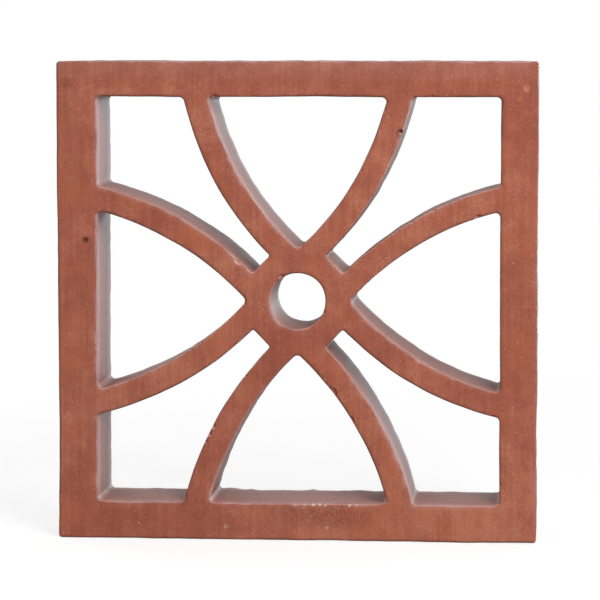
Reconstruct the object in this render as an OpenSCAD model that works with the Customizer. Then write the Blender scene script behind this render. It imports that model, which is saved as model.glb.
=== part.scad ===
// Pierced terracotta screen block: a square frame, eight curved ribs and a hub
// with a round through hole, extruded as one piece and cut to depth.
// The block stands on its bottom bed, with its front towards -Y.

/* [Block] */
// Width of the block across its face
block_w = 300; // [260:1:360]
// Height of the block
block_h = 300; // [260:1:360]
// Depth of the block through the wall
block_d = 60; // [30:1:120]
// Thickness of the frame round the pattern
frame_t = 23.5; // [16:0.5:32]

/* [Ribs] */
// Width of a rib, square to its curve
rib_w = 15; // [11:0.5:18]
// Radius of a rib's centreline
rib_r = 195; // [150:1:300]
// Distance from the middle of a side to the foot of a rib's centreline
rib_foot = 64; // [54:0.5:72]
// Distance from the block's centre to where two centrelines cross
rib_root = 22.5; // [18:0.5:26]

/* [Hub] */
// Width of the hub across its flat sides, which face the corners
hub_w = 65; // [60:1:76]
// Diameter of the hole through the hub
hole_d = 35; // [20:0.5:44]

/* [Edges and corners] */
// Width of the softened arris on every front and back edge
arris = 1.2; // [0.5:0.1:2.4]
// Radius of the block's four outer corners
outer_r = 3; // [2:0.1:6]
// Radius in the frame's inner corners
corner_r = 3; // [2:0.1:8]
// Radius where a rib meets the frame
foot_r = 3; // [1.5:0.1:5]
// Radius at the point of a petal opening
tip_r = 3.2; // [1.5:0.1:5]
// Radius where a rib meets the hub
hub_corner_r = 1.4; // [1:0.1:2.5]

/* [Hidden] */
$fa = 2;
$fs = 0.5;

// The cutters run this far past both faces
over = 0.5;
// A fillet's disc is set this much into the corner, so that its curve crosses the walls
bite = 0.025;
// The corner pieces that carry the fillets reach this far into the clay
backing = arris + over + 1.5;
inner_w = block_w / 2 - frame_t;
inner_h = block_h / 2 - frame_t;
to_corner = [1, 1] / sqrt(2);
rib_in = rib_r - rib_w / 2;
rib_out = rib_r + rib_w / 2;

function unit(v) = v / norm(v);

// Centre of a rib's arc, for a rib that rises from the hub to a wall at height inner
function rib_centre(inner) =
    let (
        root = [0, rib_root],
        foot = [rib_foot, inner],
        run = foot - root,
        rise = sqrt(rib_r * rib_r - run * run / 4)
    )
    (root + foot) / 2 + rise * unit([-run.y, run.x]);

// Point at distance r from c on the line that stands square to to_corner, at height reach along it
function on_slant(c, r, reach) =
    let (
        gap = reach - c * to_corner,
        along = [to_corner.y, -to_corner.x]
    )
    c + gap * to_corner + sqrt(r * r - gap * gap) * along;

// Point at distance r from c with the given y, on the right of c
function right_of(c, r, y) = [c.x + sqrt(r * r - (y - c.y) * (y - c.y)), y];

// Section of a cutter's edge through the depth: it widens (way 1) or narrows (way -1) at both faces
function edge_section(reach, way, inner) = [
    [inner, -over],
    [reach + way * (arris + over), -over],
    [reach, arris],
    [reach, block_d - arris],
    [reach + way * (arris + over), block_d + over],
    [inner, block_d + over]
];

// A round cutter with its arris
module soft_disc(r, way = 1) {
    rotate_extrude()
        polygon(edge_section(r, way, 0));
}

// All that lies below a straight wall at height reach, with its arris
module soft_side(reach, width, way = 1) {
    rotate([90, 0, 90])
        linear_extrude(height = 2 * width, center = true)
            polygon(edge_section(reach, way, -2 * reach));
}

// A straight-sided field, x and y from the middle
module soft_field(x, y, way = 1) {
    intersection() {
        soft_side(y, 2 * x, way);
        mirror([0, 1, 0])
            soft_side(y, 2 * x, way);
        rotate([0, 0, 90])
            soft_side(x, 2 * y, way);
        rotate([0, 0, -90])
            soft_side(x, 2 * y, way);
    }
}

// Clay that rounds one inner corner; a and b point from the fillet's centre to the two walls
module fillet(centre, r, a, b) {
    corner = (a + b) / (1 + a * b);
    difference() {
        translate([0, 0, -2 * over])
            linear_extrude(height = block_d + 4 * over)
                polygon([
                    centre,
                    centre + a * (r + backing),
                    centre + corner * (r + backing),
                    centre + b * (r + backing)
                ]);
        translate(centre + bite * unit(a + b))
            soft_disc(r);
    }
}

// The pointed opening between a pair of ribs and the wall at height inner
module petal(inner) {
    c = rib_centre(inner);
    tip = [0, c.y - sqrt(pow(rib_in - tip_r, 2) - c.x * c.x)];
    foot = right_of(c, rib_in - foot_r, inner - foot_r);
    difference() {
        intersection() {
            translate(c)
                soft_disc(rib_in);
            translate([-c.x, c.y])
                soft_disc(rib_in);
            soft_side(inner, 2 * rib_foot);
        }
        fillet(tip, tip_r, unit(tip - c), unit(tip - [-c.x, c.y]));
        for (side = [0, 1])
            mirror([side, 0, 0])
                fillet(foot, foot_r, [0, 1], unit(foot - c));
    }
}

// The four-sided opening in a corner of the frame, between two ribs and the hub
module kite() {
    c = rib_centre(inner_h);
    d = [rib_centre(inner_w).y, rib_centre(inner_w).x];
    foot_c = right_of(c, rib_out + foot_r, inner_h - foot_r);
    swap_d = right_of([d.y, d.x], rib_out + foot_r, inner_w - foot_r);
    foot_d = [swap_d.y, swap_d.x];
    root_c = on_slant(c, rib_out + hub_corner_r, hub_w / 2 + hub_corner_r);
    swap_root = on_slant([d.y, d.x], rib_out + hub_corner_r, hub_w / 2 + hub_corner_r);
    root_d = [swap_root.y, swap_root.x];
    corner = [inner_w - corner_r, inner_h - corner_r];
    difference() {
        intersection() {
            soft_field(inner_w, inner_h);
            translate([0, 0, -2 * over])
                cube([block_w, block_h, block_d + 4 * over]);
        }
        translate(c)
            soft_disc(rib_out, -1);
        translate(d)
            soft_disc(rib_out, -1);
        rotate([0, 0, -45])
            soft_side(hub_w / 2, hub_w, -1);
        fillet(corner, corner_r, [1, 0], [0, 1]);
        fillet(foot_c, foot_r, [0, 1], unit(c - foot_c));
        fillet(foot_d, foot_r, [1, 0], unit(d - foot_d));
        fillet(root_c, hub_corner_r, unit(c - root_c), -to_corner);
        fillet(root_d, hub_corner_r, unit(d - root_d), -to_corner);
    }
}

// The solid block before it is pierced, with rounded outer corners
module blank() {
    difference() {
        intersection() {
            soft_field(block_w / 2, block_h / 2, -1);
            translate([-block_w, -block_h, 0])
                cube([2 * block_w, 2 * block_h, block_d]);
        }
        for (x = [0, 1], y = [0, 1])
            mirror([x, 0, 0])
                mirror([0, y, 0])
                    translate([block_w / 2 - outer_r, block_h / 2 - outer_r])
                        difference() {
                            translate([0, 0, -over])
                                cube([2 * outer_r, 2 * outer_r, block_d + 2 * over]);
                            translate([bite, bite])
                                soft_disc(outer_r, -1);
                        }
    }
}

module block() {
    color("#a8604a")
        translate([0, block_d / 2, block_h / 2])
            rotate([90, 0, 0])
                difference() {
                    blank();
                    for (side = [0, 1]) {
                        mirror([0, side, 0])
                            petal(inner_h);
                        mirror([side, 0, 0])
                            rotate([0, 0, -90])
                                petal(inner_w);
                    }
                    for (x = [0, 1], y = [0, 1])
                        mirror([x, 0, 0])
                            mirror([0, y, 0])
                                kite();
                    soft_disc(hole_d / 2);
                }
}

block();
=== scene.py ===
import random
from math import atan2, hypot, pi, radians, sqrt, tan

import bmesh
import bpy
import numpy as np
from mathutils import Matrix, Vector, noise


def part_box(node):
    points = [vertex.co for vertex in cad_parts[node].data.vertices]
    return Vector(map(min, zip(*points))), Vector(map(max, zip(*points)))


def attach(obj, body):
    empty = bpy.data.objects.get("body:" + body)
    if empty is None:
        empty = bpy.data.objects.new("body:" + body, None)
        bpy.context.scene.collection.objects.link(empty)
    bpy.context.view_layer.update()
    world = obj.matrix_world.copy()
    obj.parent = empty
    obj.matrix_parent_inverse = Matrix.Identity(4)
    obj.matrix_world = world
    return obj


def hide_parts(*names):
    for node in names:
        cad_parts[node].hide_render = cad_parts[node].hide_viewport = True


mm = 0.001
hair = 0.01 * mm    # less than this is no distance
weld = 0.02 * mm    # vertices closer than this become one

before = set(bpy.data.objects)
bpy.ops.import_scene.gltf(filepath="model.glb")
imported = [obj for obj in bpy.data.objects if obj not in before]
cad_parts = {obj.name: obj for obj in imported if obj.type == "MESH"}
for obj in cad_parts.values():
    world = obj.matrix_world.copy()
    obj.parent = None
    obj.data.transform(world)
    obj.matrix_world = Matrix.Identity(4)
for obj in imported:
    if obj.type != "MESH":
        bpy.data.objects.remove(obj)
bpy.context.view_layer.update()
print("frame loaded")


# Small helpers for objects and edit mode

def pick(piece):
    bpy.ops.object.select_all(action="DESELECT")
    piece.select_set(True)
    bpy.context.view_layer.objects.active = piece


def startEdit(piece, kind="EDGE"):
    pick(piece)
    bpy.ops.object.mode_set(mode="EDIT")
    bpy.ops.mesh.select_mode(type=kind)
    bpy.ops.mesh.select_all(action="DESELECT")


def endEdit():
    bpy.ops.object.mode_set(mode="OBJECT")


def chooseEdges(piece, test):
    bpy.ops.mesh.select_all(action="DESELECT")
    bm = bmesh.from_edit_mesh(piece.data)
    chosen = [e for e in bm.edges if test(e)]
    for edge in chosen:
        edge.select = True
    bmesh.update_edit_mesh(piece.data)
    return len(chosen)


def middle(edge):
    return (edge.verts[0].co + edge.verts[1].co) / 2


def runsThrough(edge):
    # true for an edge that runs straight through the depth
    a, b = edge.verts[0].co, edge.verts[1].co
    return hypot(a.x - b.x, a.z - b.z) < hair


def applyModifier(piece, kind, **settings):
    pick(piece)
    modifier = piece.modifiers.new(kind.title(), kind)
    for name, value in settings.items():
        setattr(modifier, name, value)
    bpy.ops.object.modifier_apply(modifier=modifier.name)


# Camera: the photograph's station point, turned to the block

camera = {
    "place": (164 * mm, -1925 * mm, 309 * mm),
    "aim": (0, 0, 149 * mm),
    "lens": 184,
    "farthest": 50,
}


def makeCamera():
    bpy.ops.object.camera_add(location=camera["place"])
    cam = bpy.context.object
    look = Vector(camera["aim"]) - Vector(camera["place"])
    cam.rotation_euler = look.to_track_quat("-Z", "Y").to_euler()
    cam.data.lens = camera["lens"]
    cam.data.clip_end = camera["farthest"]
    bpy.context.scene.camera = cam


# Block: one extrusion of clay, so it is a slab pierced by eight openings and a hole

low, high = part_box("block")
block = {
    "wall": 23.5 * mm,          # frame round the pattern
    "ribWidth": 15 * mm,
    "ribRadius": 195 * mm,      # centreline
    "ribFoot": 64 * mm,         # from the middle of a side to a rib's foot
    "ribRoot": 22.5 * mm,       # from the hub's centre to where two centrelines cross
    "hub": 32.5 * mm,           # from the centre to the hub's flat sides, which face the corners
    "hole": 17.5 * mm,          # radius
    "holeSides": 72,
    "smoothTo": radians(35),    # edges up to this angle are shaded smooth
    "outerRound": 2 * mm,
    "outerSegments": 5,
    "cornerRound": 3 * mm,
    "footRound": 3 * mm,
    "tipRound": 3.2 * mm,
    "segments": 6,              # in each of these three rounds
    "hubRound": 1.3 * mm,
    "hubSegments": 4,
    "shy": 0.3 * mm,            # the outline stays this much inside the nominal size, for its unevenness
    "step": 5.2 * mm,           # length of one straight piece of an arc
    "past": 3 * mm,             # how far a cutter stands out of both faces
    "near": 0.05 * mm,          # an edge is found when its middle is this close
    "drift": (0.95 * mm, 0, 0.5 * mm),       # the die's pattern sits a little off the middle
    "stretch": (0.995, 1, 1.0035),           # and is a little taller than it is wide
}
width, depth, height = high[0] - low[0], high[1] - low[1], high[2] - low[2]
centreZ = (low[2] + high[2]) / 2
inner = width / 2 - block["wall"]
ribIn = block["ribRadius"] - block["ribWidth"] / 2
ribOut = block["ribRadius"] + block["ribWidth"] / 2


def ribCentre():
    # centre of the arc that passes through a rib's root and foot
    dx, dz = block["ribFoot"], inner - block["ribRoot"]
    span = hypot(dx, dz)
    rise = sqrt(block["ribRadius"] ** 2 - span ** 2 / 4)
    return (dx / 2 - rise * dz / span, (block["ribRoot"] + inner) / 2 + rise * dx / span)


def spinTo(piece, start, centre, end):
    # spins the edge at start round centre until it reaches end, all as x, z from the block's middle
    radius = hypot(start[0] - centre[0], start[1] - centre[1])
    angle = (atan2(end[1] - centre[1], end[0] - centre[0])
             - atan2(start[1] - centre[1], start[0] - centre[0]))
    angle = (angle + pi) % (2 * pi) - pi
    steps = max(2, round(abs(angle) * radius / block["step"]))
    selectAt(piece, start)
    bpy.ops.mesh.spin(steps=steps, angle=angle, axis=(0, 1, 0), center=(centre[0], 0, centre[1] + centreZ))


def selectAt(piece, place):
    spot = Vector((place[0], 0, place[1] + centreZ))
    found = chooseEdges(piece, lambda e: runsThrough(e) and (middle(e) - spot).length < block["near"])
    if not found:
        raise ValueError("no edge through the depth at %.4f, %.4f" % place)


def closePlug(piece):
    # welds the outline and caps both ends
    bpy.ops.mesh.select_all(action="SELECT")
    bpy.ops.mesh.remove_doubles(threshold=weld)
    for side in (-1, 1):
        chooseEdges(piece, lambda e: e.is_boundary and side * middle(e).y > 0)
        bpy.ops.mesh.edge_face_add()
    bpy.ops.mesh.select_all(action="SELECT")
    bpy.ops.mesh.normals_make_consistent(inside=False)


def roundAt(piece, place, radius, segments=block["segments"]):
    # rounds the plug's corner at a place with a true radius
    selectAt(piece, place)
    bm = bmesh.from_edit_mesh(piece.data)
    opening = pi - next(e for e in bm.edges if e.select).calc_face_angle()
    bpy.ops.mesh.bevel(offset=radius / tan(opening / 2), segments=segments, affect="EDGES")


def startPlug(name, fromX, toX):
    # the side of the plug that lies on the frame's upper inner wall
    bpy.ops.object.select_all(action="DESELECT")
    bpy.ops.mesh.primitive_plane_add(size=1, location=((fromX + toX) / 2, 0, inner + centreZ))
    plug = bpy.context.object
    plug.name = name
    plug.scale = (toX - fromX, depth + 2 * block["past"], 1)
    bpy.ops.object.transform_apply(location=True, rotation=True, scale=True)
    startEdit(plug)
    return plug


def makePetal():
    c = ribCentre()
    foot = (c[0] + sqrt(ribIn ** 2 - (inner - c[1]) ** 2), inner)
    tip = (0, c[1] - sqrt(ribIn ** 2 - c[0] ** 2))
    plug = startPlug("petal", -foot[0], foot[0])
    spinTo(plug, foot, c, tip)
    spinTo(plug, (-foot[0], inner), (-c[0], c[1]), tip)
    closePlug(plug)
    roundAt(plug, tip, block["tipRound"])
    roundAt(plug, foot, block["footRound"])
    roundAt(plug, (-foot[0], inner), block["footRound"])
    endEdit()
    return plug


def makeKite():
    c = ribCentre()
    foot = (c[0] + sqrt(ribOut ** 2 - (inner - c[1]) ** 2), inner)
    # where the rib's outer curve meets the hub's flat side, which crosses the diagonal at half
    half = block["hub"] / sqrt(2)
    gap = block["hub"] - (c[0] + c[1]) / sqrt(2)
    aside = (sqrt(ribOut ** 2 - gap ** 2) - (c[1] - c[0]) / sqrt(2)) / sqrt(2)
    root = (half + aside, half - aside)
    plug = startPlug("kite", foot[0], inner)
    selectAt(plug, (inner, inner))
    bpy.ops.mesh.extrude_region_move(TRANSFORM_OT_translate={"value": (0, 0, foot[0] - inner)})
    spinTo(plug, foot, c, root)
    selectAt(plug, root)
    bpy.ops.mesh.extrude_region_move(TRANSFORM_OT_translate={"value": (-2 * aside, 0, 2 * aside)})
    spinTo(plug, root[::-1], c[::-1], foot[::-1])
    closePlug(plug)
    roundAt(plug, (inner, inner), block["cornerRound"])
    roundAt(plug, foot, block["footRound"])
    roundAt(plug, foot[::-1], block["footRound"])
    roundAt(plug, root, block["hubRound"], block["hubSegments"])
    roundAt(plug, root[::-1], block["hubRound"], block["hubSegments"])
    endEdit()
    return plug


def quarterTurn(plug, turns):
    # the same opening on another side, as a copy with its own mesh
    pick(plug)
    bpy.ops.object.duplicate(linked=False)
    bpy.ops.transform.rotate(value=turns * pi / 2, orient_axis="Y", center_override=(0, 0, centreZ))
    bpy.ops.object.transform_apply(location=True, rotation=True, scale=True)
    return bpy.context.object


def makeBlank():
    bpy.ops.object.select_all(action="DESELECT")
    bpy.ops.mesh.primitive_cube_add(size=1, location=(0, 0, centreZ))
    blank = bpy.context.object
    blank.name = "pierced_block"
    blank.scale = (width - 2 * block["shy"], depth, height - 2 * block["shy"])
    bpy.ops.object.transform_apply(location=True, rotation=True, scale=True)
    startEdit(blank)
    chooseEdges(blank, runsThrough)
    bpy.ops.mesh.bevel(offset=block["outerRound"], segments=block["outerSegments"], affect="EDGES")
    endEdit()
    return blank


def pierce(blank):
    plugs = [makePetal(), makeKite()]
    cutters = plugs + [quarterTurn(plug, turns) for plug in plugs for turns in (1, 2, 3)]
    bpy.ops.object.select_all(action="DESELECT")
    bpy.ops.mesh.primitive_cylinder_add(vertices=block["holeSides"], radius=block["hole"],
                                        depth=depth + 2 * block["past"],
                                        location=(0, 0, centreZ), rotation=(pi / 2, 0, 0))
    cutters.append(bpy.context.object)
    bpy.ops.object.transform_apply(location=True, rotation=True, scale=True)
    for cutter in cutters:
        cutter.select_set(True)
    bpy.context.view_layer.objects.active = cutters[0]
    bpy.ops.object.join()
    cutter = bpy.context.object
    bpy.ops.transform.resize(value=block["stretch"], center_override=(0, 0, centreZ))
    bpy.ops.transform.translate(value=block["drift"])
    bpy.ops.object.transform_apply(location=True, rotation=True, scale=True)
    applyModifier(blank, "BOOLEAN", operation="DIFFERENCE", solver="EXACT", object=cutter)
    bpy.data.objects.remove(cutter, do_unlink=True)


# Arrises: every edge between a cut face and a wall is rounded, more in some places than in others.
# The mesh keeps two attributes beside them, which the clay's material reads: dust with painted highlight
# beside edges that face the light, and painted shade beside edges that face away.

arris = {
    "between": (0.9, 0.1),      # share of the normal along the depth: a cut face's is more, a wall's is less
    "width": 1.2 * mm,
    "segments": 4,
    "swing": 0.44,              # share of the width by which it varies
    "limits": (-0.6, 0.8),      # but by no more than these shares
    "reach": 5.5 * mm,          # the clay this far from the edge moves with it
    "core": 0.1 * mm,           # but not what is closer than this
    "waves": (17 * mm, 4.5 * mm),
    "dusty": 2.6 * mm,          # dust and painted highlight lie this far in from an edge that faces up or right
    "dustAndSheen": (0.3, 0.25),        # how much, and how much more or less where the width swings
    "paintedShade": 1.8 * mm,          # and painted shade this far in from one that faces down or left, away from the light
    # the side the light comes from: edges facing it get painted highlight, the others painted shade
    "lit": (0.63, 0, 0.77),
    "contrast": 1.4,
}


def clamp(value, least=0, most=1):
    return max(least, min(most, value))


def isArris(edge):
    if len(edge.link_faces) != 2:
        return False
    cutFace, wall = arris["between"]
    a, b = (abs(f.normal.y) for f in edge.link_faces)
    return max(a, b) > cutFace and min(a, b) < wall


def softenArrises(piece):
    startEdit(piece)
    chooseEdges(piece, isArris)
    bpy.ops.mesh.bevel(offset=arris["width"], segments=arris["segments"], affect="EDGES", clamp_overlap=False)
    endEdit()


def varyArrises(piece, edges):
    # moves the clay beside each edge towards it or away from it, so that the round gets narrower or wider
    places = np.empty(3 * len(piece.data.vertices))
    piece.data.vertices.foreach_get("co", places)
    places = places.reshape(-1, 3)
    dustAndSheen, edgeShade = np.zeros(len(places)), np.zeros(len(places))
    for side in (-1, 1):
        ends = [edge for edge in edges if edge[0].y * side > 0]
        starts = np.array([a for a, b, outward in ends])
        runs = np.array([b - a for a, b, outward in ends])
        lit = [arris["contrast"] * outward.dot(Vector(arris["lit"])) for a, b, outward in ends]
        for index in np.flatnonzero(places[:, 1] * side > depth / 2 - arris["reach"]):
            share = np.clip(((places[index] - starts) * runs).sum(1) / (runs * runs).sum(1), 0, 1)
            spots = starts + share[:, None] * runs
            away = np.linalg.norm(places[index] - spots, axis=1)
            nearest = away.argmin()
            distance = away[nearest]
            if distance > arris["reach"] or distance < arris["core"]:
                continue
            spot = Vector(spots[nearest])
            swing = sum(noise.noise(spot / wave) for wave in arris["waves"])
            layer, more = arris["dustAndSheen"]
            # dust and painted highlight beside edges that face the light
            dustAndSheen[index] = clamp(lit[nearest]) * max(0, 1 - distance / arris["dusty"]) * (layer + more * swing)
            # painted shade beside edges that face away from the light
            edgeShade[index] = clamp(-lit[nearest]) * max(0, 1 - distance / arris["paintedShade"])
            fade = min(1, (arris["reach"] - distance) / (arris["reach"] - arris["width"]))
            fade *= min(1, distance / arris["width"])
            shift = arris["width"] * clamp(arris["swing"] * swing, *arris["limits"]) * fade
            places[index] += (places[index] - spots[nearest]) / distance * shift
    piece.data.vertices.foreach_set("co", places.ravel())
    for name, values in (("dustAndSheen", dustAndSheen), ("edgeShade", edgeShade)):
        piece.data.attributes.new(name, "FLOAT", "POINT").data.foreach_set("value", values)
    piece.data.update()


# Chips and pits, cut out before the fine mesh is made. Places and sizes are in mm, x and z on the face.

chips = {
    "seed": 5,
    "small": 230,               # how many small ones lie along the arrises
    "least": 0.6,
    "most": 2.0,
    "apart": 4.5,               # at least this far from each other
    "outward": 0.3,             # their lumps stand out by this share of their size
    "longer": 1.4,              # and are longer along the arris by up to this share
    "pits": 60,                 # how many shallow pits lie in the cut faces
    "pitSize": (0.4, 1.0),
    "pitStretch": (0.8, 1.6),
    "clear": 3,                 # there is clay this far to all sides of a pit
    "sidePits": 48,             # how many lie in the outer sides
    "sidePitSize": (0.5, 1.1),
    "sidePitStretch": (1, 2.5),
    "spread": (0.46, 0.4),      # shares of the width and of the depth, both ways from the middle
    "proud": 0.25,              # a pit's lump stands out by this share of its size
    "flat": 0.6,                # and its thickness is this share of its size
    "rough": 0.12,
}
marks = [
    {"at": (-131.9, -30.1, 188.3), "size": (1.5, 0.9, 1.7)},     # pit in the frame's left side
    {"at": (65.2, -29, 255.6), "size": (1.8, 5.0, 2.3)},         # nick in the upper right rib
    {"at": (-150, -30, 188.8), "size": (0.9, 2.0, 4.0)},         # chips in the left outer edge
    {"at": (-150, -30, 181.0), "size": (0.7, 1.5, 2.0)},
    {"at": (-43.9, -30.1, 8.6), "size": (0.6, 0.4, 2.8)},        # scratch under the bottom opening
    {"at": (8.6, -30, 24.2), "size": (1.3, 1.6, 1.1)},           # chips in the bottom opening's arris
    {"at": (12.4, -30, 24.6), "size": (1.0, 1.5, 1.3)},
    {"at": (16.2, -30, 24.1), "size": (1.2, 1.4, 1.0)},
    {"at": (2.0, -30, 299.6), "size": (2.6, 1.3, 0.9)},          # flecks along the top edge
    {"at": (13.0, -30, 299.8), "size": (3.2, 1.4, 0.8)},
    {"at": (25.5, -30, 299.7), "size": (2.4, 1.2, 0.9)},
    {"at": (142.4, -30.1, 283.0), "size": (1.0, 0.5, 1.2)},      # spot near the upper right corner
    {"at": (-126.2, 30, 52.5), "size": (1.0, 2.6, 3.2)},         # back edge of the left wall
    {"at": (126.3, -30, 154.8), "size": (0.8, 2.2, 2.6)},        # front edge of the right wall
]


def arrisPlaces(piece):
    # start, end and outward direction of each sharp edge between a cut face and a wall
    bm = bmesh.new()
    bm.from_mesh(piece.data)
    found = []
    for edge in bm.edges:
        if isArris(edge):
            outward = (edge.link_faces[0].normal + edge.link_faces[1].normal).normalized()
            found.append((edge.verts[0].co.copy(), edge.verts[1].co.copy(), outward))
    bm.free()
    return found


def chooseChips(edges):
    # places and sizes of the small chips, spread by the length of the edges
    draw = random.Random(chips["seed"])
    lengths = [(b - a).length for a, b, outward in edges]
    placed = [Vector(m["at"]) for m in marks]
    chosen = []
    while len(chosen) < chips["small"]:
        a, b, outward = draw.choices(edges, lengths)[0]
        size = chips["least"] + (chips["most"] - chips["least"]) * draw.random() ** 3     # mostly small
        place = (a.lerp(b, draw.random()) + outward * chips["outward"] * size * mm) / mm
        if any((place - other).length < chips["apart"] for other in placed):
            continue
        placed.append(place)
        longer = chips["longer"] * draw.random()
        chosen.append({"at": place, "size": [size * (1 + longer * abs(way)) for way in (b - a).normalized()]})
    return chosen


def choosePits(piece):
    # shallow pits in both cut faces, only where there is clay all round
    draw = random.Random(chips["seed"] + 1)
    clear = chips["clear"] * mm
    chosen = []
    while len(chosen) < chips["pits"]:
        x, z = draw.uniform(-0.5, 0.5) * width, draw.uniform(-0.5, 0.5) * height + centreZ
        side = draw.choice((-1, 1))
        ring = [(0, 0), (clear, 0), (-clear, 0), (0, clear), (0, -clear)]
        probes = [Vector((x + dx, side * depth, z + dz)) for dx, dz in ring]
        if all(piece.ray_cast(probe, Vector((0, -side, 0)))[0] for probe in probes):
            size = draw.uniform(*chips["pitSize"])
            out = side * (depth / 2 / mm + chips["proud"] * size)
            chosen.append({"at": (x / mm, out, z / mm),
                           "size": (size, chips["flat"] * size, size * draw.uniform(*chips["pitStretch"]))})
    return chosen


def chooseSidePits():
    # shallow pits in the four outer sides, drawn out through the depth by the die
    draw = random.Random(chips["seed"] + 2)
    wide, deep = chips["spread"]
    chosen = []
    for number in range(chips["sidePits"]):
        along = draw.uniform(-wide, wide) * width / mm
        through = draw.uniform(-deep, deep) * depth / mm
        size = draw.uniform(*chips["sidePitSize"])
        out = draw.choice((-1, 1)) * (width / 2 / mm - block["shy"] / mm + chips["proud"] * size)
        long, flat = size * draw.uniform(*chips["sidePitStretch"]), chips["flat"] * size
        if number % 2:
            chosen.append({"at": (out, through, along + centreZ / mm), "size": (flat, long, size)})
        else:
            chosen.append({"at": (along, through, out + centreZ / mm), "size": (size, long, flat)})
    return chosen


def chip(piece, edges):
    lumps = []
    for one in marks + chooseChips(edges) + choosePits(piece) + chooseSidePits():
        bpy.ops.object.select_all(action="DESELECT")
        bpy.ops.mesh.primitive_ico_sphere_add(subdivisions=2, radius=1, location=Vector(one["at"]) * mm)
        lump = bpy.context.object
        lump.scale = Vector(one["size"]) * mm
        lumps.append(lump)
    pick(lumps[0])
    for lump in lumps:
        lump.select_set(True)
    bpy.ops.object.join()
    bpy.ops.object.transform_apply(location=True, rotation=True, scale=True)
    cutter = bpy.context.object
    startEdit(cutter)
    bpy.ops.mesh.select_all(action="SELECT")
    bpy.ops.transform.vertex_random(offset=chips["rough"] * mm, seed=chips["seed"])
    endEdit()
    applyModifier(piece, "BOOLEAN", operation="DIFFERENCE", solver="MANIFOLD", object=cutter)
    bpy.data.objects.remove(cutter, do_unlink=True)


mesh = {
    "grid": 2.2 * mm,               # spacing of the cuts across the face
    "depths": (0, 10, 19, 25.5),    # places of the cuts through the depth, in mm from the middle
}


def gridMesh(piece):
    # slices the whole block into small cells, so that it can be worn and warped
    startEdit(piece, "FACE")
    cuts = []
    across = np.arange(-width / 2 + mesh["grid"], width / 2, mesh["grid"])
    for value in across:
        cuts.append(((value, 0, 0), (1, 0, 0)))
        cuts.append(((0, 0, value + centreZ), (0, 0, 1)))
    for value in mesh["depths"]:
        for side in ((-1, 1) if value else (1,)):
            cuts.append(((0, side * value * mm, 0), (0, 1, 0)))
    for place, normal in cuts:
        bpy.ops.mesh.select_all(action="SELECT")
        bpy.ops.mesh.bisect(plane_co=place, plane_no=normal)
    bpy.ops.mesh.select_all(action="SELECT")
    bpy.ops.mesh.remove_doubles(threshold=weld)
    dropFlaps(piece)
    endEdit()


def dropFlaps(piece):
    # slivers that the welding left standing on an edge which two other faces already share
    bpy.ops.mesh.select_all(action="DESELECT")
    bm = bmesh.from_edit_mesh(piece.data)
    for face in bm.faces:
        users = [len(edge.link_faces) for edge in face.edges]
        if min(users) == 1 and max(users) > 2:
            face.select_set(True)
    bmesh.update_edit_mesh(piece.data)
    bpy.ops.mesh.delete(type="FACE")


# Unevenness: the clay column wandered a little in the die and moved as it dried and fired

unevenness = {
    # size of the waves and their full swing, in mm, where in the noise they start,
    # and how much longer they are through the depth
    "broad": (62, 1.4, 0.3, 50),
    "fine": (16, 0.3, 0.7, 50),
    "ragged": (9, 0.9, 0.9, 4),     # at the back, where the wire left the clay
    "face": (45, 0.5, 0.5, 0.5),
    "backFrom": 0.3,                # the back begins at this share of the way from the middle
    "burrs": [                      # clay that the wire pulled up at the back of the bottom wall
        {"at": (-46, 30, 23.6), "reach": (11, 9, 4), "move": (0, 0, 0.8)},
        {"at": (-34, 30, 23.6), "reach": (5, 7, 4), "move": (0, 0, 0.7)},
        {"at": (6, 30, 23.6), "reach": (3.5, 6, 4), "move": (0, 0, 0.8)},
    ],
}


def weighBack(piece):
    # vertex group that grows from nothing to 1 towards the back
    group = piece.vertex_groups.new(name="nearBack")
    start = unevenness["backFrom"]
    for vertex in piece.data.vertices:
        weight = (vertex.co.y / (depth / 2) - start) / (1 - start)
        if weight > 0:
            group.add([vertex.index], min(1, weight), "REPLACE")
    return group.name


def wander(piece, direction, wave, number=0, group=""):
    # moves the surface along one axis by soft waves
    size, swing, start, through = wave
    texture = bpy.data.textures.new("waves", "CLOUDS")
    texture.noise_scale = 1
    bpy.ops.object.select_all(action="DESELECT")
    bpy.ops.object.empty_add(location=(start + number, 0, start + number))
    guide = bpy.context.object
    guide.scale = (size * mm, through * size * mm, size * mm)
    bpy.context.view_layer.update()
    applyModifier(piece, "DISPLACE", texture=texture, texture_coords="OBJECT", texture_coords_object=guide,
                  direction=direction, strength=swing * mm, mid_level=0.5, vertex_group=group)
    bpy.data.objects.remove(guide, do_unlink=True)


def pullUp(piece, burr):
    at, reach, move = (Vector(burr[key]) * mm for key in ("at", "reach", "move"))
    for vertex in piece.data.vertices:
        away = vertex.co - at
        near = 1 - hypot(away.x / reach.x, away.y / reach.y, away.z / reach.z)
        if near > 0:
            vertex.co += move * near * near * (3 - 2 * near)


def makeUneven(piece):
    back = weighBack(piece)
    for number, direction in enumerate("XZ"):
        wander(piece, direction, unevenness["broad"], number)
        wander(piece, direction, unevenness["fine"], number)
        wander(piece, direction, unevenness["ragged"], number, back)
    wander(piece, "Y", unevenness["face"])
    for burr in unevenness["burrs"]:
        pullUp(piece, burr)
    piece.vertex_groups.clear()
    # nothing stands out of the block's nominal size
    places = np.empty(3 * len(piece.data.vertices))
    piece.data.vertices.foreach_get("co", places)
    places = np.clip(places.reshape(-1, 3), low, high)
    piece.data.vertices.foreach_set("co", places.ravel())
    piece.data.update()


# Small helpers for materials

soft = {"interpolation_type": "SMOOTHSTEP"}


def toLinear(hexColour):
    # sRGB hex to the linear values that a socket takes
    parts = [int(hexColour[i:i + 2], 16) / 255 for i in (1, 3, 5)]
    return [c / 12.92 if c <= 0.04045 else ((c + 0.055) / 1.055) ** 2.4 for c in parts] + [1]


def perMetre(size):
    return 1 / (size * mm)


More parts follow.
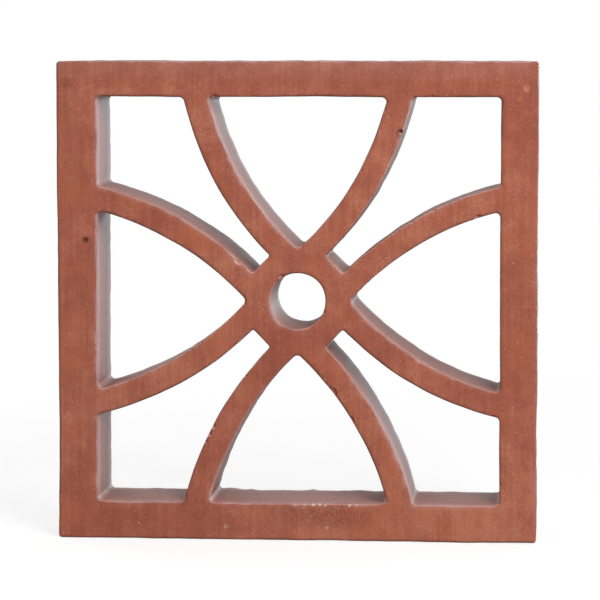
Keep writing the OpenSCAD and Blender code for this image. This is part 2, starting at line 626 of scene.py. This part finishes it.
def addNode(tree, kind, inputs=(), **settings):
    # adds a node, sets it and fills its inputs, which are a list in their own order, or a dictionary.
    # An input that is given a socket is linked to it, and one given a node to the node's first output in use.
    node = tree.nodes.new("ShaderNode" + kind)
    for name, value in settings.items():
        setattr(node, name, value)
    for name, value in inputs.items() if isinstance(inputs, dict) else enumerate(inputs):
        if isinstance(value, bpy.types.Node):
            value = next(socket for socket in value.outputs if socket.enabled)
        if isinstance(value, bpy.types.NodeSocket):
            tree.links.new(value, node.inputs[name])
        else:
            node.inputs[name].default_value = value
    return node


def setStops(ramp, stops):
    marks = ramp.color_ramp.elements
    marks.remove(marks[1])
    marks[0].position, marks[0].color = stops[0][0], toLinear(stops[0][1])
    for position, colour in stops[1:]:
        marks.new(position).color = toLinear(colour)


# Terracotta: unglazed red clay, extruded, cut to depth with a wire and fired.
# The wire leaves matte, faintly dragged faces; the die leaves denser, smoother walls in the openings.

terracotta = {
    "shades": [(0.2, "#914f3d"), (0.5, "#a15c48"), (0.8, "#b4715a")],    # of the cut faces
    "wallShades": [(0, "#a15a47"), (0.5, "#804a3c"), (1, "#4a2f28")],    # from the front to the back, darker there as painted shade
    "hot": "#b06246",           # patches that were fired hotter
    "grog": "#c98f76",          # ground brick in the clay, which shows as pale grains
    "scuffed": "#703a2d",
    "edgeShadeColour": "#5a362c",          # painted shade on arrises that face down or left, away from the light
    "wornAndLit": "#caa4a0",          # rubbed, dusty arrises on the other side, with painted highlight
    "stain": "#64291d",
    "bright": "#cf8a63",
    "lime": "#ecd8cc",
    "patterns": {               # size in mm, detail, roughness, and scale along x, y and z
        "broad": (85, 3, 0.5, (1, 1, 1)),
        "heat": (34, 4, 0.65, (1, 1, 1)),
        "mottle": (13, 5, 0.6, (1, 1, 1)),
        "drag": (2.4, 3, 0.5, (1, 1, 0.05)),         # left by the wire on the cut faces
        "dieLines": (1.8, 4, 0.5, (1, 0.03, 1)),     # drawn by the die through the depth of the walls
        "torn": (1.5, 3, 0.5, (1, 1, 1)),
        "streaks": (1.2, 2, 0.5, (1, 1, 0.4)),
        "grain": (1.1, 2, 0.5, (1, 1, 1)),
    },
    "shadeWeights": {"broad": 1.0, "mottle": 0.85, "drag": 0.5, "grain": 0.7},
    "depthShadeWeights": {"dieLines": 0.35, "mottle": 0.6},
    "cutFacing": (0.86, 0.98),  # share of the normal along the depth that turns arris into cut face
    "wallFacing": (0.5, 0.12),  # and arris into wall
    "paintedSlope": (0.06, 0, -0.6),    # painted light: a little paler to the right and darker towards the top, per metre
    "frameShade": 0.06,         # the frame is this much darker than the ribs and the hub
    "frameBlend": (12, 8),      # and gets so from this far inside its inner edge to this far outside, in mm
    "hotRange": (0.5, 0.72, 0, 0.6),
    "grogGrains": {"size": 2.6, "edge": (0.26, 0.1), "chance": (0.72, 0.95), "most": 0.55},
    "scuff": {"at": (19, -30, 16), "reach": (42, 3, 11), "fade": (1.1, 0.2), "most": 0.6,
              "streaks": (0.35, 0.65, 0.3),
              "specks": {"size": 1.6, "edge": (0.34, 0.14), "chance": (0.5, 0.95), "most": 0.6}},
    "tornBy": 3,                # the spots' outlines wander by this many mm
    "spotEdge": (1.3, 0.4),     # and fade out between these shares of their radius
    "spots": [                  # colour, x and z on the face and radius, in mm, and strength
        ("stain", -131.9, 188.3, 2.2, 0.95),
        ("stain", 64.9, 255.6, 2.8, 0.9),
        ("stain", -143.5, 286.0, 4.0, 0.25),
        ("bright", 142.4, 283.0, 2.4, 0.45),
        ("bright", 138.0, 276.5, 1.6, 0.25),
        ("lime", -43.9, 8.6, 1.5, 0.22),
        ("lime", 1.2, 23.3, 1.0, 0.6),
        ("lime", 5.5, 23.2, 0.9, 0.5),
        ("lime", 11.1, 23.2, 1.1, 0.75),
        ("lime", 15.1, 23.1, 1.2, 0.8),
        ("lime", 18.3, 22.6, 0.9, 0.5),
        ("lime", 33.7, 23.3, 1.2, 0.75),
        ("lime", 38.1, 23.3, 0.9, 0.4),
        ("lime", 19.1, 8.8, 1.1, 0.3),
    ],
    "wearAndLight": {
        "onArris": 0.8,
        "front": 0.3,           # wear and painted highlight on arrises fade out within this share of the depth from the middle
        "lip": 20,              # walls are paler this far in from both edges, in mm: dust and painted highlight
        "onLip": 0.75,
        "litSide": (0.62, -0.2, 0.76),     # what faces this way, towards the light, is rubbed and dusty and gets painted highlight; what faces away gets painted shade
        "litRange": (-0.15, 0.5),
        "uneven": (0.3, 0.6, 0.45),
        "settles": 14,          # dust has settled on the face this far down from the top, in mm
        "settled": 0.17,
        "level": 0.5,           # and on walls that face up more than this
        "layer": 0.3,
        "cleanSide": (6, 3),    # the outer arris on the right has less dust and painted highlight, in mm from the side
        "onCleanSide": 0.15,
        # painted shade on arrises that face away from the light
        "edgeShade": 0.7,
    },
    "rough": (0.85, 0.58),      # on the cut faces and on the walls
    "dustyRough": (0.6, 1, 0, 0.5),        # walls that face up are rough again, from dust
    "sheenShade": {"at": (52, 0, 88), "reach": (88, 48.4), "gloss": (0.5, 0.14)},    # painted shade: the walls round there reflect less, as if in shadow
    "cutRelief": ("drag", 0.5, "grain"),           # this much of the first pattern on top of the second
    "wallRelief": ("dieLines", 0.8, "mottle"),
    "bump": (0.35, 0.25),       # strength, and height in mm
}


def readSurface(tree):
    # what the rest of the material reads: where a place is, which way it faces, and the patterns there
    where = addNode(tree, "TexCoord")
    place = where.outputs["Object"]
    xyz = addNode(tree, "SeparateXYZ", [place])
    facing = addNode(tree, "SeparateXYZ", [where.outputs["Normal"]])
    squareness = addNode(tree, "Math", [facing.outputs["Y"]], operation="ABSOLUTE")
    here = {
        "place": place,
        "x": xyz.outputs["X"],
        "y": xyz.outputs["Y"],
        "z": xyz.outputs["Z"],
        "normal": where.outputs["Normal"],
        "upward": facing.outputs["Z"],
        "cut": addNode(tree, "MapRange", [squareness, *terracotta["cutFacing"]], **soft),
        "wall": addNode(tree, "MapRange", [squareness, *terracotta["wallFacing"]], **soft),
    }
    for name, (size, detail, roughness, scale) in terracotta["patterns"].items():
        scaled = addNode(tree, "Mapping", {"Vector": place, "Scale": scale})
        here[name] = addNode(tree, "TexNoise", {"Vector": scaled, "Scale": perMetre(size), "Detail": detail,
                                                "Roughness": roughness})
    return here


def addSwings(tree, start, here, weights):
    # adds each pattern's swing about its middle, by its weight
    for name, weight in weights.items():
        swing = addNode(tree, "Math", [here[name], 0.5], operation="SUBTRACT")
        start = addNode(tree, "Math", [swing, weight, start], operation="MULTIPLY_ADD")
    return start


def shadeClay(tree, here):
    # from broad firing shades down to grain, and darker on the frame
    paintedSlope = terracotta["paintedSlope"]
    inside, outside = terracotta["frameBlend"]
    shade = addSwings(tree, 0.5, here, terracotta["shadeWeights"])
    # painted light: paler to the right, darker towards the top
    paintedLight = addNode(tree, "VectorMath", [here["place"], paintedSlope], operation="DOT_PRODUCT")
    paintedLight = addNode(tree, "Math", [paintedLight, -paintedSlope[2] * centreZ], operation="ADD")
    shade = addNode(tree, "Math", [shade, paintedLight], operation="ADD")
    outward = addNode(tree, "VectorMath", [here["place"], (0, 0, centreZ)], operation="SUBTRACT")
    outward = addNode(tree, "VectorMath", [outward], operation="ABSOLUTE")
    outward = addNode(tree, "SeparateXYZ", [outward])
    outward = addNode(tree, "Math", [outward.outputs["X"], outward.outputs["Z"]], operation="MAXIMUM")
    framed = addNode(tree, "MapRange", [outward, inner - inside * mm, inner + outside * mm,
                                        0, terracotta["frameShade"]])
    shade = addNode(tree, "Math", [shade, framed], operation="SUBTRACT")
    clay = addNode(tree, "ValToRGB", [shade])
    setStops(clay, terracotta["shades"])
    return clay


def shadeWalls(tree, here):
    # painted shade: the walls get darker towards the back, varied by die lines and mottle
    depthShade = addNode(tree, "MapRange", [here["y"], -depth / 2, depth / 2])
    depthShade = addSwings(tree, depthShade, here, terracotta["depthShadeWeights"])
    wallTone = addNode(tree, "ValToRGB", [depthShade])
    setStops(wallTone, terracotta["wallShades"])
    return wallTone


def scatterGrains(tree, place, grains):
    # a grain in the middle of some of the pattern's cells, strong in few of them
    cells = addNode(tree, "TexVoronoi", {"Vector": place, "Scale": perMetre(grains["size"])})
    grain = addNode(tree, "MapRange", [cells, *grains["edge"]], **soft)
    chance = addNode(tree, "SeparateColor", [cells.outputs["Color"]])
    chance = addNode(tree, "MapRange", [chance, *grains["chance"], 0, grains["most"]])
    return addNode(tree, "Math", [grain, chance], operation="MULTIPLY")


def tearPlace(tree, here):
    # the same places, but shifted to and fro, so that spots measured from them get a ragged outline
    shift = here["torn"].outputs["Color"]
    shift = addNode(tree, "VectorMath", [shift, (0.5, 0.5, 0.5)], operation="SUBTRACT")
    swing = [terracotta["tornBy"] * mm] * 3
    return addNode(tree, "VectorMath", [shift, swing, here["place"]], operation="MULTIPLY_ADD")


def scuffRail(tree, here, torn):
    # a scuffed patch on the bottom rail, darker in fine upright streaks and with pale specks in it
    scuff = terracotta["scuff"]
    squeeze = [perMetre(size) for size in scuff["reach"]]
    over = addNode(tree, "VectorMath", [here["place"], Vector(scuff["at"]) * mm], operation="SUBTRACT")
    over = addNode(tree, "VectorMath", [over, squeeze], operation="MULTIPLY")
    over = addNode(tree, "VectorMath", [over], operation="LENGTH")
    over = addNode(tree, "MapRange", [over, *scuff["fade"], 0, scuff["most"]], **soft)
    streaks = addNode(tree, "MapRange", [here["streaks"], *scuff["streaks"]])
    streaks = addNode(tree, "Math", [over, streaks], operation="MULTIPLY")
    specks = addNode(tree, "Math", [scatterGrains(tree, torn, scuff["specks"]), over], operation="MULTIPLY")
    return [(streaks, "scuffed"), (specks, "lime")]


def findSpots(tree, torn):
    # the strongest spot of each colour at a place
    found = {}
    for colour, x, z, radius, strength in terracotta["spots"]:
        rim, core = (radius * share * mm for share in terracotta["spotEdge"])
        away = addNode(tree, "VectorMath", [torn, (x * mm, -depth / 2, z * mm)], operation="DISTANCE")
        spot = addNode(tree, "MapRange", [away, rim, core, 0, strength], **soft)
        if colour in found:
            spot = addNode(tree, "Math", [spot, found[colour]], operation="MAXIMUM")
        found[colour] = spot
    return [(spot, colour) for colour, spot in found.items()]


def findWearAndLight(tree, here):
    # painted shade on the arrises that face down or left; dust, wear and painted highlight on the others,
    # fading down the walls
    wearAndLight = terracotta["wearAndLight"]
    cut, wall, y = here["cut"], here["wall"], here["y"]
    notArris = addNode(tree, "Math", [cut, wall], operation="ADD")
    towards = addNode(tree, "VectorMath", [here["normal"], wearAndLight["litSide"]], operation="DOT_PRODUCT")
    towards = addNode(tree, "MapRange", [towards, *wearAndLight["litRange"]], **soft)

    # painted shade on arrises facing away from the light
    paintedShade = addNode(tree, "MapRange", [notArris, 0, 1, wearAndLight["edgeShade"], 0])
    paintedShade = addNode(tree, "Math", [paintedShade, towards], operation="SUBTRACT", use_clamp=True)
    edgeShade = addNode(tree, "Attribute", attribute_name="edgeShade").outputs["Fac"]
    paintedShade = addNode(tree, "Math", [paintedShade, edgeShade], operation="MAXIMUM")

    frontward = addNode(tree, "MapRange", [y, wearAndLight["front"] * depth, -wearAndLight["front"] * depth])
    onArris = addNode(tree, "MapRange", [notArris, 0, 1, wearAndLight["onArris"], 0])
    onArris = addNode(tree, "Math", [onArris, frontward], operation="MULTIPLY")
    lip = addNode(tree, "Math", [y], operation="ABSOLUTE")
    lip = addNode(tree, "MapRange", [lip, depth / 2 - wearAndLight["lip"] * mm, depth / 2, 0, wearAndLight["onLip"]], **soft)
    lip = addNode(tree, "Math", [lip, wall], operation="MULTIPLY")
    rubbedAndLit = addNode(tree, "Math", [onArris, lip], operation="MAXIMUM")
    rubbedAndLit = addNode(tree, "Math", [rubbedAndLit, towards], operation="MULTIPLY")

    dustAndSheen = addNode(tree, "Attribute", attribute_name="dustAndSheen").outputs["Fac"]
    dustAndSheen = addNode(tree, "Math", [dustAndSheen, cut], operation="MULTIPLY")
    top = high[2]
    settled = addNode(tree, "MapRange", [here["z"], top - wearAndLight["settles"] * mm, top, 0, wearAndLight["settled"]])
    dustAndSheen = addNode(tree, "Math", [dustAndSheen, settled], operation="MAXIMUM")
    rubbedAndLit = addNode(tree, "Math", [rubbedAndLit, dustAndSheen], operation="MAXIMUM")
    uneven = addNode(tree, "MapRange", [here["mottle"], *wearAndLight["uneven"]])
    rubbedAndLit = addNode(tree, "Math", [rubbedAndLit, uneven], operation="MULTIPLY")
    layer = addNode(tree, "MapRange", [here["upward"], wearAndLight["level"], 1, 0, wearAndLight["layer"]])
    rubbedAndLit = addNode(tree, "Math", [rubbedAndLit, layer], operation="MAXIMUM")
    start, end = (high[0] - size * mm for size in wearAndLight["cleanSide"])
    clean = addNode(tree, "MapRange", [here["x"], start, end, 1, wearAndLight["onCleanSide"]])
    rubbedAndLit = addNode(tree, "Math", [rubbedAndLit, clean], operation="MULTIPLY")
    return [(paintedShade, "edgeShadeColour"), (rubbedAndLit, "wornAndLit")]


def finishSurface(tree, here, shader):
    # matte cut faces and smoother walls, each with its own relief
    look = terracotta
    dusty = addNode(tree, "MapRange", [here["upward"], *look["dustyRough"]])
    smooth = addNode(tree, "Math", [here["wall"], dusty], operation="SUBTRACT", use_clamp=True)
    rough = addNode(tree, "MapRange", [smooth, 0, 1, *look["rough"]])

    # painted shade: less reflection on the walls round one place, as if shadowed
    sheenShade = look["sheenShade"]
    far, near = (size * mm for size in sheenShade["reach"])
    shadowed = addNode(tree, "VectorMath", [here["place"], Vector(sheenShade["at"]) * mm], operation="DISTANCE")
    shadowed = addNode(tree, "MapRange", [shadowed, far, near], **soft)
    shadowed = addNode(tree, "Math", [shadowed, here["wall"]], operation="MULTIPLY")
    gloss = addNode(tree, "MapRange", [shadowed, 0, 1, *sheenShade["gloss"]])

    heights = []
    for upper, weight, lower in (look["cutRelief"], look["wallRelief"]):
        heights.append(addNode(tree, "Math", [here[upper], weight, here[lower]], operation="MULTIPLY_ADD"))
    height = addNode(tree, "Mix", {0: here["wall"], 2: heights[0], 3: heights[1]}, data_type="FLOAT")
    strength, size = look["bump"]
    bump = addNode(tree, "Bump", {"Height": height, "Strength": strength, "Distance": size * mm})

    for name, node in (("Roughness", rough), ("Specular IOR Level", gloss), ("Normal", bump)):
        tree.links.new(node.outputs[0], shader.inputs[name])


def makeTerracotta():
    material = bpy.data.materials.new("terracotta_wire_cut")
    material.use_nodes = True
    tree = material.node_tree
    shader = tree.nodes["Principled BSDF"]
    here = readSurface(tree)
    torn = tearPlace(tree, here)
    # from the bottom up: how much of each layer there is at a place, and its colour
    layers = [
        (addNode(tree, "MapRange", [here["heat"], *terracotta["hotRange"]]), "hot"),
        (scatterGrains(tree, here["place"], terracotta["grogGrains"]), "grog"),
        *scuffRail(tree, here, torn),
        (here["wall"], shadeWalls(tree, here)),
        *findWearAndLight(tree, here),
        *findSpots(tree, torn),
    ]
    colour = shadeClay(tree, here)
    for share, top in layers:
        if isinstance(top, str):
            top = toLinear(terracotta[top])
        colour = addNode(tree, "Mix", {0: share, 6: colour, 7: top}, data_type="RGBA")
    tree.links.new(colour.outputs[2], shader.inputs["Base Color"])
    finishSurface(tree, here, shader)
    return material


# Studio: white all round, a pale floor that keeps the block's shadow, and soft lights mostly from the right

studio = {
    "ambient": 0.25,
    "floorSize": 14,
    "floorTone": 0.35,
    "floorLift": 0.77,      # seen directly, the floor glows by this much, to come out near white
    "fadeFrom": 0.35,       # and from here to there it fades to pure white
    "fadeTo": 1.3,
}
lights = {
    "key": {"place": (0.55, -1.15, 0.68), "size": 0.5, "power": 15, "glossy": False},
    "fill": {"place": (-1.1, -1.3, 0.6), "size": 1.0, "power": 2},
    "rimRight": {"place": (1.45, 2.8, 0.12), "size": 1.1, "power": 34, "colour": (0.85, 0.93, 1)},
    "backdrop": {"place": (0.5, 2.6, 1.5), "size": 2.2, "power": 12},
    "rimLeft": {"place": (-1.2, 1.2, 0.5), "size": 0.9, "power": 9},
}


def seenDirectly(tree):
    # 1 for rays that show the background: straight from the camera, or off something shiny or clear
    path = addNode(tree, "LightPath").outputs
    either = addNode(tree, "Math", [path["Is Camera Ray"], path["Is Glossy Ray"]], operation="MAXIMUM")
    return addNode(tree, "Math", [either, path["Is Transmission Ray"]], operation="MAXIMUM")


def makeWorld():
    world = bpy.data.worlds.new("studio")
    bpy.context.scene.world = world
    world.use_nodes = True
    tree = world.node_tree
    tree.nodes.clear()
    lit = addNode(tree, "Background", {"Color": (1, 1, 1, 1), "Strength": studio["ambient"]})
    seen = addNode(tree, "Background", {"Color": (1, 1, 1, 1), "Strength": 1})
    mix = addNode(tree, "MixShader", [seenDirectly(tree), lit, seen])
    addNode(tree, "OutputWorld", {"Surface": mix})


def makeFloor():
    bpy.ops.object.select_all(action="DESELECT")
    bpy.ops.mesh.primitive_plane_add(size=studio["floorSize"], location=(0, 0, 0))
    floor = bpy.context.object
    floor.name = "floor"
    material = bpy.data.materials.new("pale_floor")
    material.use_nodes = True
    tree = material.node_tree
    tree.nodes.clear()
    place = addNode(tree, "TexCoord").outputs["Object"]
    reach = addNode(tree, "VectorMath", [place], operation="LENGTH")
    far = addNode(tree, "MapRange", [reach, studio["fadeFrom"], studio["fadeTo"]], **soft)
    tone = studio["floorTone"]
    paint = addNode(tree, "BsdfDiffuse", {"Color": (tone, tone, tone, 1)})
    lift = addNode(tree, "Math", [seenDirectly(tree), studio["floorLift"]], operation="MULTIPLY")
    glow = addNode(tree, "Emission", {"Strength": lift})
    near = addNode(tree, "AddShader", [paint, glow])
    white = addNode(tree, "Emission", {"Strength": 1})
    fade = addNode(tree, "Math", [far, seenDirectly(tree)], operation="MULTIPLY")
    mix = addNode(tree, "MixShader", [fade, near, white])
    addNode(tree, "OutputMaterial", {"Surface": mix})
    floor.data.materials.append(material)


def makeLights():
    for name, light in lights.items():
        bpy.ops.object.light_add(type="AREA", location=light["place"])
        lamp = bpy.context.object
        lamp.name = name
        look = Vector((0, 0, centreZ)) - Vector(light["place"])
        lamp.rotation_euler = look.to_track_quat("-Z", "Y").to_euler()
        lamp.data.size = light["size"]
        lamp.data.energy = light["power"]
        lamp.data.color = light.get("colour", (1, 1, 1))
        lamp.visible_camera = False
        # without this the key glares off the walls when the block is seen from behind
        lamp.visible_glossy = light.get("glossy", True)


makeCamera()
piece = makeBlank()
pierce(piece)
print("block pierced", len(piece.data.vertices))
sharpEdges = arrisPlaces(piece)
softenArrises(piece)
print("arrises softened", len(piece.data.vertices))
chip(piece, sharpEdges)
print("chips and pits cut", len(piece.data.vertices))
gridMesh(piece)
print("grid cut", len(piece.data.vertices), len(piece.data.polygons))
varyArrises(piece, sharpEdges)
makeUneven(piece)
print("walls made uneven")

pick(piece)
bpy.ops.object.shade_smooth_by_angle(angle=block["smoothTo"])
# cutting the chips leaves an empty material slot
piece.data.materials.clear()
piece.data.materials.append(makeTerracotta())

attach(piece, "root")
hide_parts("block")

makeWorld()
makeFloor()
makeLights()
bpy.context.scene.view_settings.view_transform = "Standard"
